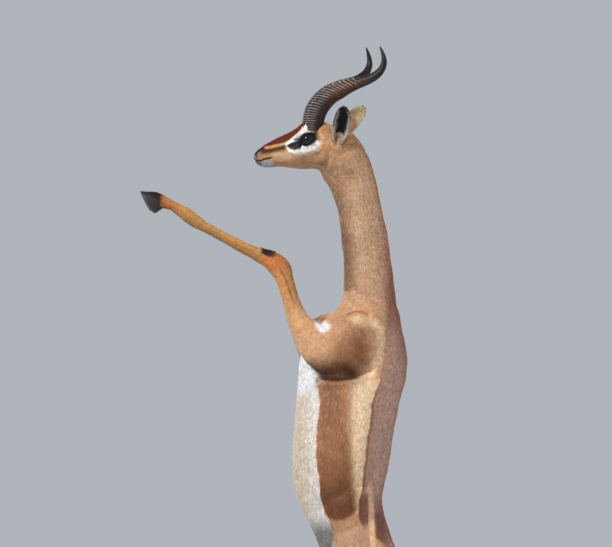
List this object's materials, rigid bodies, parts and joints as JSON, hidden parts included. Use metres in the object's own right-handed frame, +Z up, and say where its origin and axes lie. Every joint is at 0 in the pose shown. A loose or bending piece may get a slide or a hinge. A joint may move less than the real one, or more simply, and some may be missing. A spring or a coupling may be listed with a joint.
{
  "type": "gerenuk",
  "caption": "Life-size still model of an adult male gerenuk standing upright on its hind legs with its forelegs raised to browse, on a flat display base",
  "frame": {"origin": "middle of the display base's underside", "axes": "+Z up; the animal faces -X, and its left side is toward -Y"},
  "size_m": [0.8345, 0.4, 2.181],
  "materials": {
    "coat": "short flat fur, tan with a red-brown saddle and a white belly",
    "eye": "wet and glossy",
    "horn": "ridged horn, satin",
    "hoof": "smooth hoof, satin",
    "base": "painted, matt"
  },
  "bodies": {
    "root": {"head": "coat", "neck_upper": "coat", "neck_lower": "coat", "chest": "coat", "abdomen": "coat", "hindquarters": "coat", "tail": "coat", "forearm_left": "coat", "fore_cannon_left": "coat", "fore_pastern_left": "coat", "thigh_left": "coat", "shank_left": "coat", "hind_cannon_left": "coat", "hind_pastern_left": "coat", "ear_left": "coat", "eye_left": "eye", "horn_left": "horn", "claw_fore_left_inner": "hoof", "claw_fore_left_outer": "hoof", "claw_hind_left_inner": "hoof", "claw_hind_left_outer": "hoof", "forearm_right": "coat", "fore_cannon_right": "coat", "fore_pastern_right": "coat", "thigh_right": "coat", "shank_right": "coat", "hind_cannon_right": "coat", "hind_pastern_right": "coat", "ear_right": "coat", "eye_right": "eye", "horn_right": "horn", "claw_fore_right_inner": "hoof", "claw_fore_right_outer": "hoof", "claw_hind_right_inner": "hoof", "claw_hind_right_outer": "hoof", "stand_base": "base"}
  },
  "joints": []
}
